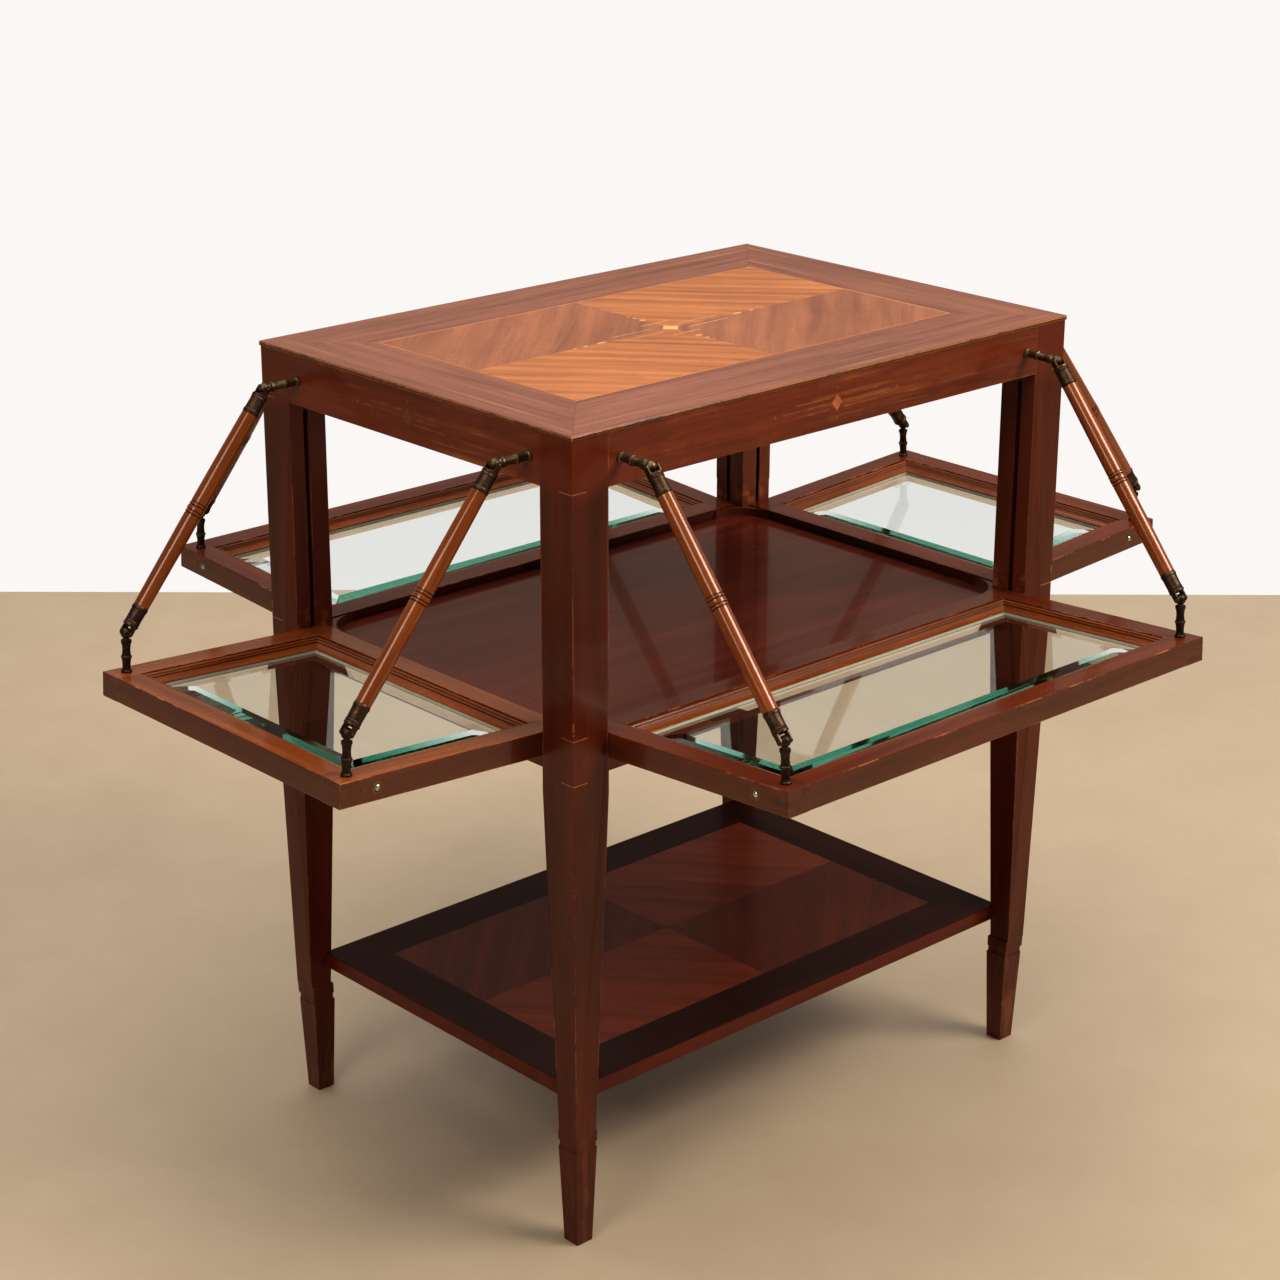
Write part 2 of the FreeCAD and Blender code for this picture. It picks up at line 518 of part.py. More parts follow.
def flap(name):
    """Every piece of one flap, drawn flat about its pins with the outer edge at -Y."""
    half, _ = opening(name)
    hw = half - FLAP_GAP
    h = FLAP_T / 2
    y_in, y_out = FLAP_IN, -FLAP_OUT
    stile_l = box(-hw, -hw + MEMBER, y_out, y_in, -h, h)
    stile_r = box(hw - MEMBER, hw, y_out, y_in, -h, h)
    rail_in = box(-hw + MEMBER, hw - MEMBER, y_in - MEMBER, y_in, -h, h)
    rail_out = box(-hw + MEMBER, hw - MEMBER, y_out, y_out + MEMBER, -h, h)
    # open bridle joints at the outer corners, stub tenons at the pin side
    for s in (-1, 1):
        x0, x1 = sorted((s * (hw - MEMBER), s * hw))
        rail_out = rail_out.fuse(box(x0, x1, y_out, y_out + MEMBER, -3.6, 3.6))
        x0, x1 = sorted((s * (hw - MEMBER), s * (hw - MEMBER + 12.0)))
        rail_in = rail_in.fuse(box(x0, x1, y_in - MEMBER + 5, y_in - 5, -3.6, 3.6))
    members = [stile_l.cut(rail_out).cut(rail_in), stile_r.cut(rail_out).cut(rail_in), rail_in, rail_out]

    # two reeds parted by fine grooves, then a hollow that runs down to the glass
    top = [(0.0, GLASS_TOP), (BEAD, GLASS_TOP), (BEAD, GLASS_TOP + 1.2), (10.6, 4.3), (8.6, 5.6), (7.2, 7.0),
           (6.8, 6.6), (6.3, 7.9), (5.2, 8.7), (4.2, 8.6), (3.7, 7.8), (3.3, 9.0), (2.5, 9.9), (1.3, 10.2),
           (0.5, 9.8), (0.3, 9.2), (0.0, 9.2)]
    z_under = GLASS_TOP - GLASS_T
    low = [(0.0, z_under), (0.0, -h + 1.4), (5.5, -h + 1.4), (8.6, -h + 3.0), (11.5, z_under - 1.2),
           (11.5, z_under)]
    ix, iy0, iy1 = hw - MEMBER, y_out + MEMBER, y_in - MEMBER
    beads = bead_profile_solids(ix, iy0, iy1, top) + bead_profile_solids(ix, iy0, iy1, low)

    # bevelled plate: full thickness in the middle, thin at the edges
    gx, gy0, gy1 = ix - 0.3, iy0 + 0.3, iy1 - 0.3
    z_low, z_thin, z_top = GLASS_TOP - GLASS_T, GLASS_TOP - 2.6, GLASS_TOP - 0.01
    land = BEAD - 0.3
    flat = box(-gx, gx, gy0, gy1, z_low + 0.01, z_top)
    ring = prism([(-gx - 1, gy0 - 1), (gx + 1, gy0 - 1), (gx + 1, gy1 + 1), (-gx - 1, gy1 + 1)], -9, 9)
    bx, by0, by1 = gx - land, gy0 + land, gy1 - land

    crown = tapered(rect(-bx, bx, by0, by1, z_thin),
                    rect(-bx + BEVEL, bx - BEVEL, by0 + BEVEL, by1 - BEVEL, z_top))
    base = box(-bx, bx, by0, by1, z_low + 0.01, z_thin)
    rim = flat.cut(box(-bx, bx, by0, by1, -9, 9)).common(ring)
    glass = base.fuse(crown).fuse(rim).removeSplitter()

    # studs near the outer corners, pin holes and ball catches in the side edges
    studs, pins, houses, balls = [], [], [], {}
    for s, tag in ((-1, "a"), (1, "b")):
        base_pt = V(s * (half - STUD_SIDE), -(FLAP_OUT - STUD_END), h)
        studs.append(stud(base_pt, V(0, 0, 1), None))
        pins.append(cylinder(PIN_R, 17.0, V(s * (hw - 11.0), 0, 0), V(s, 0, 0)))
        hole = cylinder(PIN_R + 0.05, 12.0, V(s * (hw - 11.5), 0, 0), V(s, 0, 0))
        centre = V(s * (hw + CATCH_PROUD - CATCH_R), -CATCH_U, 0)
        mouth = V(s * hw, -CATCH_U, 0)
        house = cylinder(4.8, 15.0, V(s * (hw - 15.0), -CATCH_U, 0), V(s, 0, 0))
        bore = cylinder(CATCH_R + 0.05, 12.2, V(s * (hw - 13.0), -CATCH_U, 0), V(s, 0, 0))
        lip = Part.makeCone(CATCH_R + 0.05, 2.62, 0.8, V(s * (hw - 0.8), -CATCH_U, 0), V(s, 0, 0))
        house = house.cut(bore.fuse(lip))
        pocket = cylinder(4.8, 15.0, V(s * (hw - 15.0), -CATCH_U, 0), V(s, 0, 0))
        members = [m.cut(hole).cut(pocket).cut(studs[-1]) for m in members]
        houses.append(house)
        balls[tag] = Part.makeSphere(CATCH_R, centre)
        assert (mouth - centre).Length < CATCH_R
    return {"frame": bag(members), "beads": bag(beads), "glass": glass, "studs": bag(studs),
            "pins": bag(pins), "catches": bag(houses), "balls": balls}


# ---------------------------------------------------------------- collect the nodes
parts["top_board"] = top_board
parts["top_border_veneers"] = top_banding
parts["top_field_veneers"] = bag(leaves)
parts["top_lines_and_motif"] = bag(top_lines + motif)
for name, shape in legs.items():
    parts["leg_" + name] = shape
parts["aprons_long"] = bag([apron_shapes["front"], apron_shapes["back"]])
parts["aprons_side"] = bag([apron_shapes["left"], apron_shapes["right"]])
parts["case_inlay"] = bag(inlay_shapes)
parts["apron_studs"] = bag(apron_studs)
parts["frieze_blocks"] = bag(blocks)
parts["frieze_screws"] = bag(screws)
parts["shelf_board"] = shelf
parts["shelf_rails"] = bag(rails)
parts["shelf_corner_fillers"] = shelf_fillers
parts["lower_shelf_board"] = low_board
parts["lower_shelf_veneers"] = bag(low_band + low_leaves)
for side in SIDES:
    rods, ends = stays(side)
    parts["stay_rods_" + side] = rods
    parts["stay_ferrules_" + side] = ends
    pieces = flap(side)
    for key in ("frame", "beads", "glass", "studs", "catches"):
        parts["flap_" + side + "_" + key] = open_pose(pieces[key], side)
    parts["pivot_pins_" + side] = open_pose(pieces["pins"], side)
    for tag, ball in pieces["balls"].items():
        parts["catch_ball_" + side + "_" + tag] = open_pose(ball, side)

os.makedirs("parts", exist_ok=True)
for name, shape in parts.items():
    if not shape.isValid():
        print("INVALID", name)
    shape.exportStep("parts/" + name + ".step")
    b = shape.BoundBox
    print("%-26s solids %2d  vol %10.1f  z %.1f..%.1f" % (name, len(shape.Solids), shape.Volume, b.ZMin, b.ZMax))
print("nodes", len(parts))
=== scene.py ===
# %% [markdown]
# # A mahogany display table with four rising glass flaps
# The real object is a small French-polished table. A quartered veneered top sits on four
# tapered legs, and a glazed flap hangs on each side on two wooden stays with brass ends.
# The measured model gives every size and every moving body. Here it only gets its looks,
# so each step below takes one kind of piece, and says how it is made and why.

# %% Load the measured model
import math

import bmesh
import bpy
import numpy as np
from mathutils import Matrix, Vector


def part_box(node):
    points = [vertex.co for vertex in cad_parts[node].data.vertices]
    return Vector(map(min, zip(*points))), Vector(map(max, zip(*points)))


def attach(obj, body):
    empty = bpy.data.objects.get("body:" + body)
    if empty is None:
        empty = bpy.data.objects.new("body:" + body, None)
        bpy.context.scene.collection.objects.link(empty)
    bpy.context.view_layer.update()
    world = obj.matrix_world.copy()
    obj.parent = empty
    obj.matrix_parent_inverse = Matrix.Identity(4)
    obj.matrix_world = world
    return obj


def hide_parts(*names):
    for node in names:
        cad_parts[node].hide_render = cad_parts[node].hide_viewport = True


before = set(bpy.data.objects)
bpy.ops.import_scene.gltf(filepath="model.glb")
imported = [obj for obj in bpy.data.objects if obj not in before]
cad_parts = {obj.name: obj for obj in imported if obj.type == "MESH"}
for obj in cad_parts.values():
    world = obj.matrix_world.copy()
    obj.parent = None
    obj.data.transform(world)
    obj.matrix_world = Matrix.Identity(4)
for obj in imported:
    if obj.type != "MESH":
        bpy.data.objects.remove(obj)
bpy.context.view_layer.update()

SIDES = ("front", "right", "back", "left")

# %% [markdown]
# ## Where the eye stands
# A long lens from a little above the table shows two sides, the top and both shelves. The
# direction is given as a turn about the vertical and a height, which is easier to reason
# about than a matrix of nine numbers; the matrix is then built from three plain axes.

# %% Camera
FILM_WIDTH = 36.0     # mm


def set_camera(turn, rise, distance, target, lens, roll):
    """Camera that looks at a target from a turn and a rise in degrees."""
    a, e, r = math.radians(turn), math.radians(rise), math.radians(roll)
    back = Vector((math.sin(a) * math.cos(e), -math.cos(a) * math.cos(e), math.sin(e)))
    right = (-back).cross(Vector((0, 0, 1))).normalized()
    up = right.cross(-back)
    side = right * math.cos(r) + up * math.sin(r)
    top = up * math.cos(r) - right * math.sin(r)
    camera = bpy.data.objects.new("Camera", bpy.data.cameras.new("Camera"))
    camera.data.lens, camera.data.sensor_width = lens, FILM_WIDTH
    place = Matrix((side, top, back)).transposed().to_4x4()
    place.translation = Vector(target) + back * distance
    camera.matrix_world = place
    bpy.context.scene.collection.objects.link(camera)
    bpy.context.scene.camera = camera
    return camera


camera = set_camera(turn=-42.69, rise=20.01, distance=2.7836, target=(0.00323, 0.04415, 0.44123),
                    lens=80.17, roll=0.15)
print("camera at", [round(c, 3) for c in camera.matrix_world.translation])

# %% [markdown]
# ## A plain pale room
# Polished wood looks like what it mirrors. A pale wall behind the table gives the top its
# soft sheen, and the darker room in front keeps the upright faces deep red-brown. The wall
# shows on its front only, so it never stands in the way of a look from behind.

# %% Small helpers for node trees
def add(tree, kind, feeds=None, **settings):
    """One node, with its settings, and its inputs set or linked by name or number."""
    made = tree.nodes.new("ShaderNode" + kind)
    for key, value in settings.items():
        setattr(made, key, value)
    for key, value in (feeds or {}).items():
        socket = made.inputs[key]
        if isinstance(value, bpy.types.NodeSocket):
            tree.links.new(value, socket)
        else:
            socket.default_value = value
    return made


def math_of(tree, operation, *values, clamp=False):
    """Result of one Math node."""
    made = add(tree, "Math", dict(enumerate(values)), operation=operation, use_clamp=clamp)
    return made.outputs[0]


def blend_of(tree, share, a, b, mode="MIX"):
    """Result of one colour Mix node."""
    made = add(tree, "Mix", data_type="RGBA", blend_type=mode)
    for socket, value in zip((made.inputs[0], made.inputs[6], made.inputs[7]), (share, a, b)):
        if isinstance(value, bpy.types.NodeSocket):
            tree.links.new(value, socket)
        else:
            socket.default_value = value
    return made.outputs[2]


def spread_of(tree, value, low, high, to_low=0.0, to_high=1.0):
    """A value stretched from one span to another and held inside it."""
    made = add(tree, "MapRange", {"Value": value, "From Min": low, "From Max": high,
                                  "To Min": to_low, "To Max": to_high})
    return made.outputs[0]


def colour(red, green, blue):
    """Screen colour from 0 to 255 as the linear colour that a shader wants."""
    def line(c):
        c /= 255.0
        return c / 12.92 if c <= 0.04045 else ((c + 0.055) / 1.055) ** 2.4
    return (line(red), line(green), line(blue), 1.0)


def new_material(name):
    """Empty material with its output node."""
    material = bpy.data.materials.new(name)
    material.use_nodes = True
    material.node_tree.nodes.clear()
    return material, material.node_tree, add(material.node_tree, "OutputMaterial")


# %% Floor and wall
def flat_sheet(name, corners, material):
    """One flat face that belongs to the room and not to the table."""
    mesh = bpy.data.meshes.new(name)
    mesh.from_pydata(corners, [], [tuple(range(len(corners)))])
    sheet = bpy.data.objects.new(name, mesh)
    sheet.data.materials.append(material)
    bpy.context.scene.collection.objects.link(sheet)
    return sheet


floor_paint, tree, out = new_material("Pale floor")
mottle = add(tree, "TexNoise", {"Vector": add(tree, "TexCoord").outputs["Object"], "Scale": 9.0,
                                "Detail": 8.0, "Roughness": 0.7})
paint = blend_of(tree, mottle.outputs["Fac"], colour(180, 162, 136), colour(197, 181, 157))
shine = add(tree, "BsdfPrincipled", {"Base Color": paint, "Roughness": 0.6})
tree.links.new(shine.outputs[0], out.inputs["Surface"])
FLOOR_REACH = 8.0     # metres from the middle of the table to the end of the floor
flat_sheet("Floor",
           [(x * FLOOR_REACH, y * FLOOR_REACH, 0) for x, y in ((-1, -1), (1, -1), (1, 1), (-1, 1))],
           floor_paint)

wall_paint, tree, out = new_material("Pale wall")
rays = add(tree, "LightPath").outputs
not_through = math_of(tree, "SUBTRACT", 1.0, rays["Is Transmission Ray"])
mirrored = math_of(tree, "MULTIPLY", rays["Is Glossy Ray"], not_through)
tint = blend_of(tree, mirrored, colour(250, 247, 245), colour(250, 226, 208))
SEEN_GLOW, MIRRORED_GLOW = 0.84, 0.25
glow = add(tree, "Emission", {"Color": tint,
                              "Strength": spread_of(tree, mirrored, 0, 1, SEEN_GLOW, MIRRORED_GLOW)})
seen = add(tree, "MixShader", {0: add(tree, "NewGeometry").outputs["Backfacing"], 1: glow.outputs[0],
                               2: add(tree, "BsdfTransparent").outputs[0]})
tree.links.new(seen.outputs[0], out.inputs["Surface"])
away = Vector((0.678, 0.735, 0)).normalized()
along = Vector((0.735, -0.678, 0)).normalized()
WALL_DISTANCE, HALF_WIDTH, WALL_HEIGHT = 1.45, 5, 4
foot, rise = away * WALL_DISTANCE, Vector((0, 0, WALL_HEIGHT))
near_end, far_end = foot - along * HALF_WIDTH, foot + along * HALF_WIDTH
flat_sheet("Wall", [near_end, far_end, far_end + rise, near_end + rise], wall_paint)

# %% Lights
def soft_light(name, place, target, width, height, power, tint):
    """Soft box that faces a target."""
    lamp = bpy.data.lights.new(name, "AREA")
    lamp.shape, lamp.size, lamp.size_y = "RECTANGLE", width, height
    lamp.energy, lamp.color = power, tint[:3]
    holder = bpy.data.objects.new(name, lamp)
    holder.location = place
    holder.rotation_euler = (Vector(target) - Vector(place)).to_track_quat("-Z", "Y").to_euler()
    bpy.context.scene.collection.objects.link(holder)
    return holder


warm = colour(255, 244, 232)
soft_light("Key light", (1.4, -2.4, 2.9), (0, 0, 0.5), 1.8, 1.2, 88, warm)
soft_light("Left light", (-2.6, -0.9, 2.4), (0, 0, 0.5), 1.2, 1.2, 26, warm)
soft_light("High light", (-0.2, 0.3, 3.3), (0, 0, 0.5), 2.6, 2.6, 52, warm)
world = bpy.data.worlds.new("Room")
bpy.context.scene.world = world
world.use_nodes = True
tree = world.node_tree
tree.nodes.clear()
seen = add(tree, "LightPath").outputs["Is Camera Ray"]
air = blend_of(tree, seen, (0.085, 0.08, 0.075, 1), colour(238, 234, 228))
sky = add(tree, "Background", {"Color": air, "Strength": 1.0})
tree.links.new(sky.outputs[0], add(tree, "OutputWorld").inputs["Surface"])
view, cycles = bpy.context.scene.view_settings, bpy.context.scene.cycles
view.view_transform, view.look = "Standard", "Medium High Contrast"
# light runs a long way inside a plate before it leaves by the bevel
cycles.max_bounces, cycles.diffuse_bounces = 48, 3
cycles.glossy_bounces = cycles.transmission_bounces = 44

# %% [markdown]
# ## Cutting the measured solids into single boards
# A joiner sees boards, not one lump: each has its own grain, its own colour and softened
# arrises. Every measured node is a row of closed solids, so a solid ends where all its edges
# have met their partner. Each one is then cleaned to flat faces and its long edges are
# softened by bmesh's bevel, which keeps flat faces truly flat, as a subdivision would not.

# %% Closed solids of a node
def solids_of(node):
    """Faces of each closed solid, as tuples of corner keys in micrometres."""
    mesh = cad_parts[node].data
    key = [tuple(round(c * 1e6) for c in v.co) for v in mesh.vertices]
    found, faces, open_edges = [], [], {}
    for polygon in mesh.polygons:
        ids = [key[i] for i in polygon.vertices]
        faces.append(ids)
        for a, b in zip(ids, ids[1:] + ids[:1]):
            if a != b:
                edge = (min(a, b), max(a, b))
                open_edges[edge] = open_edges.get(edge, 0) + (1 if a < b else -1)
                if not open_edges[edge]:
                    del open_edges[edge]
        if not open_edges:
            found.append(faces)
            faces = []
    return found


def board_of(faces, soften, turned=False, shortest=0.006):
    """bmesh of one solid with flat faces joined up and long outer edges softened."""
    bm = bmesh.new()
    corner = {}
    for ids in faces:
        for i in ids:
            if i not in corner:
                corner[i] = bm.verts.new([c / 1e6 for c in i])
        if len(set(ids)) == len(ids):
            try:
                bm.faces.new([corner[i] for i in ids])
            except ValueError:
                pass
    bm.normal_update()
    if not turned:
        bmesh.ops.dissolve_limit(bm, angle_limit=0.02, verts=bm.verts, edges=bm.edges)
    mark = bm.faces.layers.float.new("arris")
    if soften:
        sharp = [e for e in bm.edges if e.is_manifold and e.is_convex and e.calc_length() > shortest
                 and e.calc_face_angle(0.0) > math.radians(28)]
        cut = bmesh.ops.bevel(bm, geom=sharp, offset=soften, offset_type="OFFSET", segments=2,
                              profile=0.5, affect="EDGES", clamp_overlap=True)
        for face in cut["faces"]:
            face[mark] = 1.0
    return bm


print("solids in the front flap frame:", len(solids_of("flap_front_frame")))

# %% [markdown]
# ## Grain that follows each board
# Wood is a solid pattern that is long one way. Each board therefore carries its own set of
# axes: along its longest edge, across, and through its broad face. They are stored at the
# corners as an attribute called "grain", in metres, so one shader serves every board, and
# veneer can be laid at any angle by turning the axes.

# %% Axes of a board
def axes_of(bm, lay=None):
    """Three axes of a board: along the grain, across it, and through its broad face."""
    broad = max(bm.faces, key=lambda f: f.calc_area()).normal.copy()
    if lay is None:
        edge = max(bm.edges, key=lambda e: e.calc_length())
        lay = edge.verts[1].co - edge.verts[0].co
    lay = Vector(lay).normalized()
    if max(lay, key=abs) < 0:
        lay = -lay
    through = broad - lay * broad.dot(lay)
    through = through.normalized() if through.length > 1e-3 else lay.orthogonal().normalized()
    return Matrix((lay, through.cross(lay), through))


def put_together(name, boards, materials, pick, lays=None, smooth=None):
    """One object from several boards, with the grain and arris attributes filled in."""
    points, faces, grain, arris, chosen = [], [], [], [], []
    for number, bm in enumerate(boards):
        axes = axes_of(bm, lays(number, bm) if lays else None)
        centre = sum((v.co for v in bm.verts), Vector()) / len(bm.verts)
        # so that no two boards show the same grain
        shift = Vector(((number * 0.731 + len(name) * 0.37) % 3,
                        (number * 0.413 + len(name) * 0.53) % 2, number * 0.19))
        first = len(points)
        bm.verts.index_update()
        mark = bm.faces.layers.float["arris"]
        for v in bm.verts:
            points.append(v.co.copy())
            grain.extend(axes @ (v.co - centre) + shift)
        for f in bm.faces:
            faces.append([first + v.index for v in f.verts])
            arris.append(f[mark])
            chosen.append(pick(number, f) if pick else 0)
        bm.free()
    mesh = bpy.data.meshes.new(name)
    mesh.from_pydata(points, [], faces)
    mesh.attributes.new("grain", "FLOAT_VECTOR", "POINT").data.foreach_set("vector", grain)
    mesh.attributes.new("arris", "FLOAT", "FACE").data.foreach_set("value", arris)
    for material in materials:
        mesh.materials.append(material)
    mesh.polygons.foreach_set("material_index", chosen)
    if smooth is not None:
        mesh.shade_smooth()
        mesh.set_sharp_from_angle(angle=math.radians(smooth))
    piece = bpy.data.objects.new(name, mesh)
    bpy.context.scene.collection.objects.link(piece)
    return piece


def dressed(name, node, body, materials, soften=0.0006, pick=None, lays=None, smooth=None,
            shortest=0.006):
    """A measured node cut into boards, softened and finished; it stands for that node."""
    boards = [board_of(faces, soften, smooth is not None, shortest) for faces in solids_of(node)]
    piece = put_together(name, boards, materials, pick, lays, smooth)
    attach(piece, body)
    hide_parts(node)
    print(name, "boards", len(boards), "faces", len(piece.data.polygons))
    return piece


# %% [markdown]
# ## Shader groups shared by all the wood
# Mahogany shows four things at four scales: broad light and dark streaks, the ribbon that
# comes from grain leaning left and right in turn, fine fibre, and short dark pores. One
# group makes them all from the board's own axes, so a long stretch one way is a simple
# multiplication and no image is needed.

# %% Group: timber grain
def new_group(name, takes, gives):
    """Shader group with named inputs and outputs."""
    group = bpy.data.node_groups.new(name, "ShaderNodeTree")
    for label, kind, value in takes:
        socket = group.interface.new_socket(label, in_out="INPUT", socket_type="NodeSocket" + kind)
        if value is not None:
            socket.default_value = value
    for label, kind in gives:
        group.interface.new_socket(label, in_out="OUTPUT", socket_type="NodeSocket" + kind)
    return group, group.nodes.new("NodeGroupInput").outputs, group.nodes.new("NodeGroupOutput").inputs


def stretched(tree, axes, along, across, shift=0.0):
    """Vector of the three grain axes, each times its own scale."""
    x = math_of(tree, "MULTIPLY_ADD", axes[0], along, shift)
    y = math_of(tree, "MULTIPLY", axes[1], across)
    z = math_of(tree, "MULTIPLY", axes[2], across)
    return add(tree, "CombineXYZ", {0: x, 1: y, 2: z}).outputs[0]


grain_group, takes, gives = new_group("Timber grain",
                                      [("Axes", "Vector", None), ("Figure", "Float", 1.0),
                                       ("Ribbon width", "Float", 0.02)],
                                      [("Tone", "Float"), ("Ribbon", "Float"), ("Fibre", "Float"),
                                       ("Pores", "Float"), ("Height", "Float")])
wander = add(grain_group, "TexNoise", {"Vector": takes["Axes"], "Scale": 5.0, "Detail": 2.0})
drift = add(grain_group, "VectorMath", {0: wander.outputs["Color"], 1: (0.5, 0.5, 0.5)},
            operation="SUBTRACT")
moved = add(grain_group, "VectorMath", {0: drift.outputs[0], 1: (0.02, 0.02, 0.02), 2: takes["Axes"]},
            operation="MULTIPLY_ADD")
axes = add(grain_group, "SeparateXYZ", {0: moved.outputs[0]}).outputs
sized = [math_of(grain_group, "MULTIPLY", a, takes["Figure"]) for a in axes]
streaks = add(grain_group, "TexNoise",
              {"Vector": stretched(grain_group, sized, 2.2, 55.0), "Scale": 1.0, "Detail": 5.0, "Roughness": 0.62})
fibre = add(grain_group, "TexNoise", {"Vector": stretched(grain_group, axes, 14.0, 480.0), "Scale": 1.0,
                                      "Detail": 3.0, "Roughness": 0.6})
pores = add(grain_group, "TexNoise",
            {"Vector": stretched(grain_group, axes, 95.0, 1300.0, 3.7), "Scale": 1.0, "Detail": 1.0})
pore_mask = spread_of(grain_group, pores.outputs["Fac"], 0.6, 0.7)
turns = math_of(grain_group, "DIVIDE", axes[1], takes["Ribbon width"])
uneven = add(grain_group, "TexNoise",
             {"Vector": stretched(grain_group, axes, 4.0, 30.0, 9.1), "Scale": 1.0, "Detail": 3.0})
turns = math_of(grain_group, "MULTIPLY_ADD", uneven.outputs["Fac"], 2.2, turns)
wave = math_of(grain_group, "SINE", math_of(grain_group, "MULTIPLY", turns, 2 * math.pi))
grain_group.links.new(spread_of(grain_group, streaks.outputs["Fac"], 0.28, 0.72), gives["Tone"])
grain_group.links.new(spread_of(grain_group, wave, -1.0, 1.0), gives["Ribbon"])
grain_group.links.new(fibre.outputs["Fac"], gives["Fibre"])
grain_group.links.new(pore_mask, gives["Pores"])
grain_group.links.new(math_of(grain_group, "SUBTRACT", fibre.outputs["Fac"], pore_mask),
                      gives["Height"])
print("group", grain_group.name, "nodes", len(grain_group.nodes))

# %% [markdown]
# ## Rubbed edges and handling marks
# Hands, trays and moves wear the polish off the arrises first, in broken lines. The Bevel
# node compares the rounded normal with the true one, which finds edges on any shape; the
# softened arris faces are marked too. Fine scratches come from a thin band cut out of a
# stretched noise, and a slow cloud gives the haze that changes how glossy the polish is.

# %% Group: rubbed edges
edge_group, takes, gives = new_group(
    "Rubbed edges", [("Axes", "Vector", None), ("Width", "Float", 0.0015), ("Amount", "Float", 0.5)],
    [("Mask", "Float")])
true_way = add(edge_group, "NewGeometry").outputs["Normal"]
round_way = add(edge_group, "Bevel", {"Radius": takes["Width"]}, samples=4).outputs[0]
apart = add(edge_group, "VectorMath", {0: true_way, 1: round_way},
            operation="DOT_PRODUCT").outputs["Value"]
near_edge = spread_of(edge_group, apart, 0.985, 0.8)
broken = add(edge_group, "TexNoise",
             {"Vector": takes["Axes"], "Scale": 55.0, "Detail": 6.0, "Roughness": 0.75})
patches = add(edge_group, "TexNoise", {"Vector": takes["Axes"], "Scale": 9.0, "Detail": 2.0})
level = math_of(edge_group, "MULTIPLY_ADD", patches.outputs["Fac"], 0.7, broken.outputs["Fac"])
gate = math_of(edge_group, "SUBTRACT", 1.32, math_of(edge_group, "MULTIPLY", takes["Amount"], 0.62))
worn = spread_of(edge_group, math_of(edge_group, "SUBTRACT", level, gate), 0.0, 0.12)
marked = add(edge_group, "Attribute", attribute_name="arris").outputs["Fac"]
either = math_of(edge_group, "MAXIMUM", near_edge, marked)
edge_group.links.new(math_of(edge_group, "MULTIPLY", either, worn, clamp=True), gives["Mask"])

# %% Group: handling marks
mark_group, takes, gives = new_group(
    "Handling marks", [("Axes", "Vector", None), ("Size", "Float", 1.0)],
    [("Haze", "Float"), ("Scratches", "Float")])
sized = add(mark_group, "VectorMath", {0: takes["Axes"], "Scale": takes["Size"]},
            operation="SCALE").outputs[0]
cloud = add(mark_group, "TexNoise", {"Vector": sized, "Scale": 7.0, "Detail": 4.0, "Roughness": 0.55})
turned_axes = add(mark_group, "Mapping", {"Vector": sized, "Rotation": (0.3, 0.2, 0.6),
                                          "Scale": (3.0, 90.0, 90.0)})
lines = add(mark_group, "TexNoise", {"Vector": turned_axes.outputs[0], "Scale": 1.0, "Detail": 0.0})
off_middle = math_of(mark_group, "SUBTRACT", lines.outputs["Fac"], 0.5)
thin = spread_of(mark_group, math_of(mark_group, "ABSOLUTE", off_middle), 0.006, 0.0)
sparse = add(mark_group, "TexNoise", {"Vector": sized, "Scale": 16.0, "Detail": 1.0})
mark_group.links.new(cloud.outputs["Fac"], gives["Haze"])
mark_group.links.new(math_of(mark_group, "MULTIPLY", thin,
                             spread_of(mark_group, sparse.outputs["Fac"], 0.56, 0.66)),
                     gives["Scratches"])
print("groups", [g.name for g in bpy.data.node_groups])

# %% [markdown]
# ## Polished mahogany
# French polish is a clear skin over stained wood. The Principled shader's coat is that skin
# and keeps one value all over, while colour, roughness and a fine bump below it change with
# the grain. One function sets all the wood finishes, because they differ in stain, figure
# and gloss and not in kind.

# %% Timber finish
def use(tree, group, **feeds):
    """A shader group placed in a material."""
    made = add(tree, "Group", node_tree=group)
    for key, value in feeds.items():
        socket = made.inputs[key.replace("_", " ")]
        if isinstance(value, bpy.types.NodeSocket):
            tree.links.new(value, socket)
        else:
            socket.default_value = value
    return made.outputs


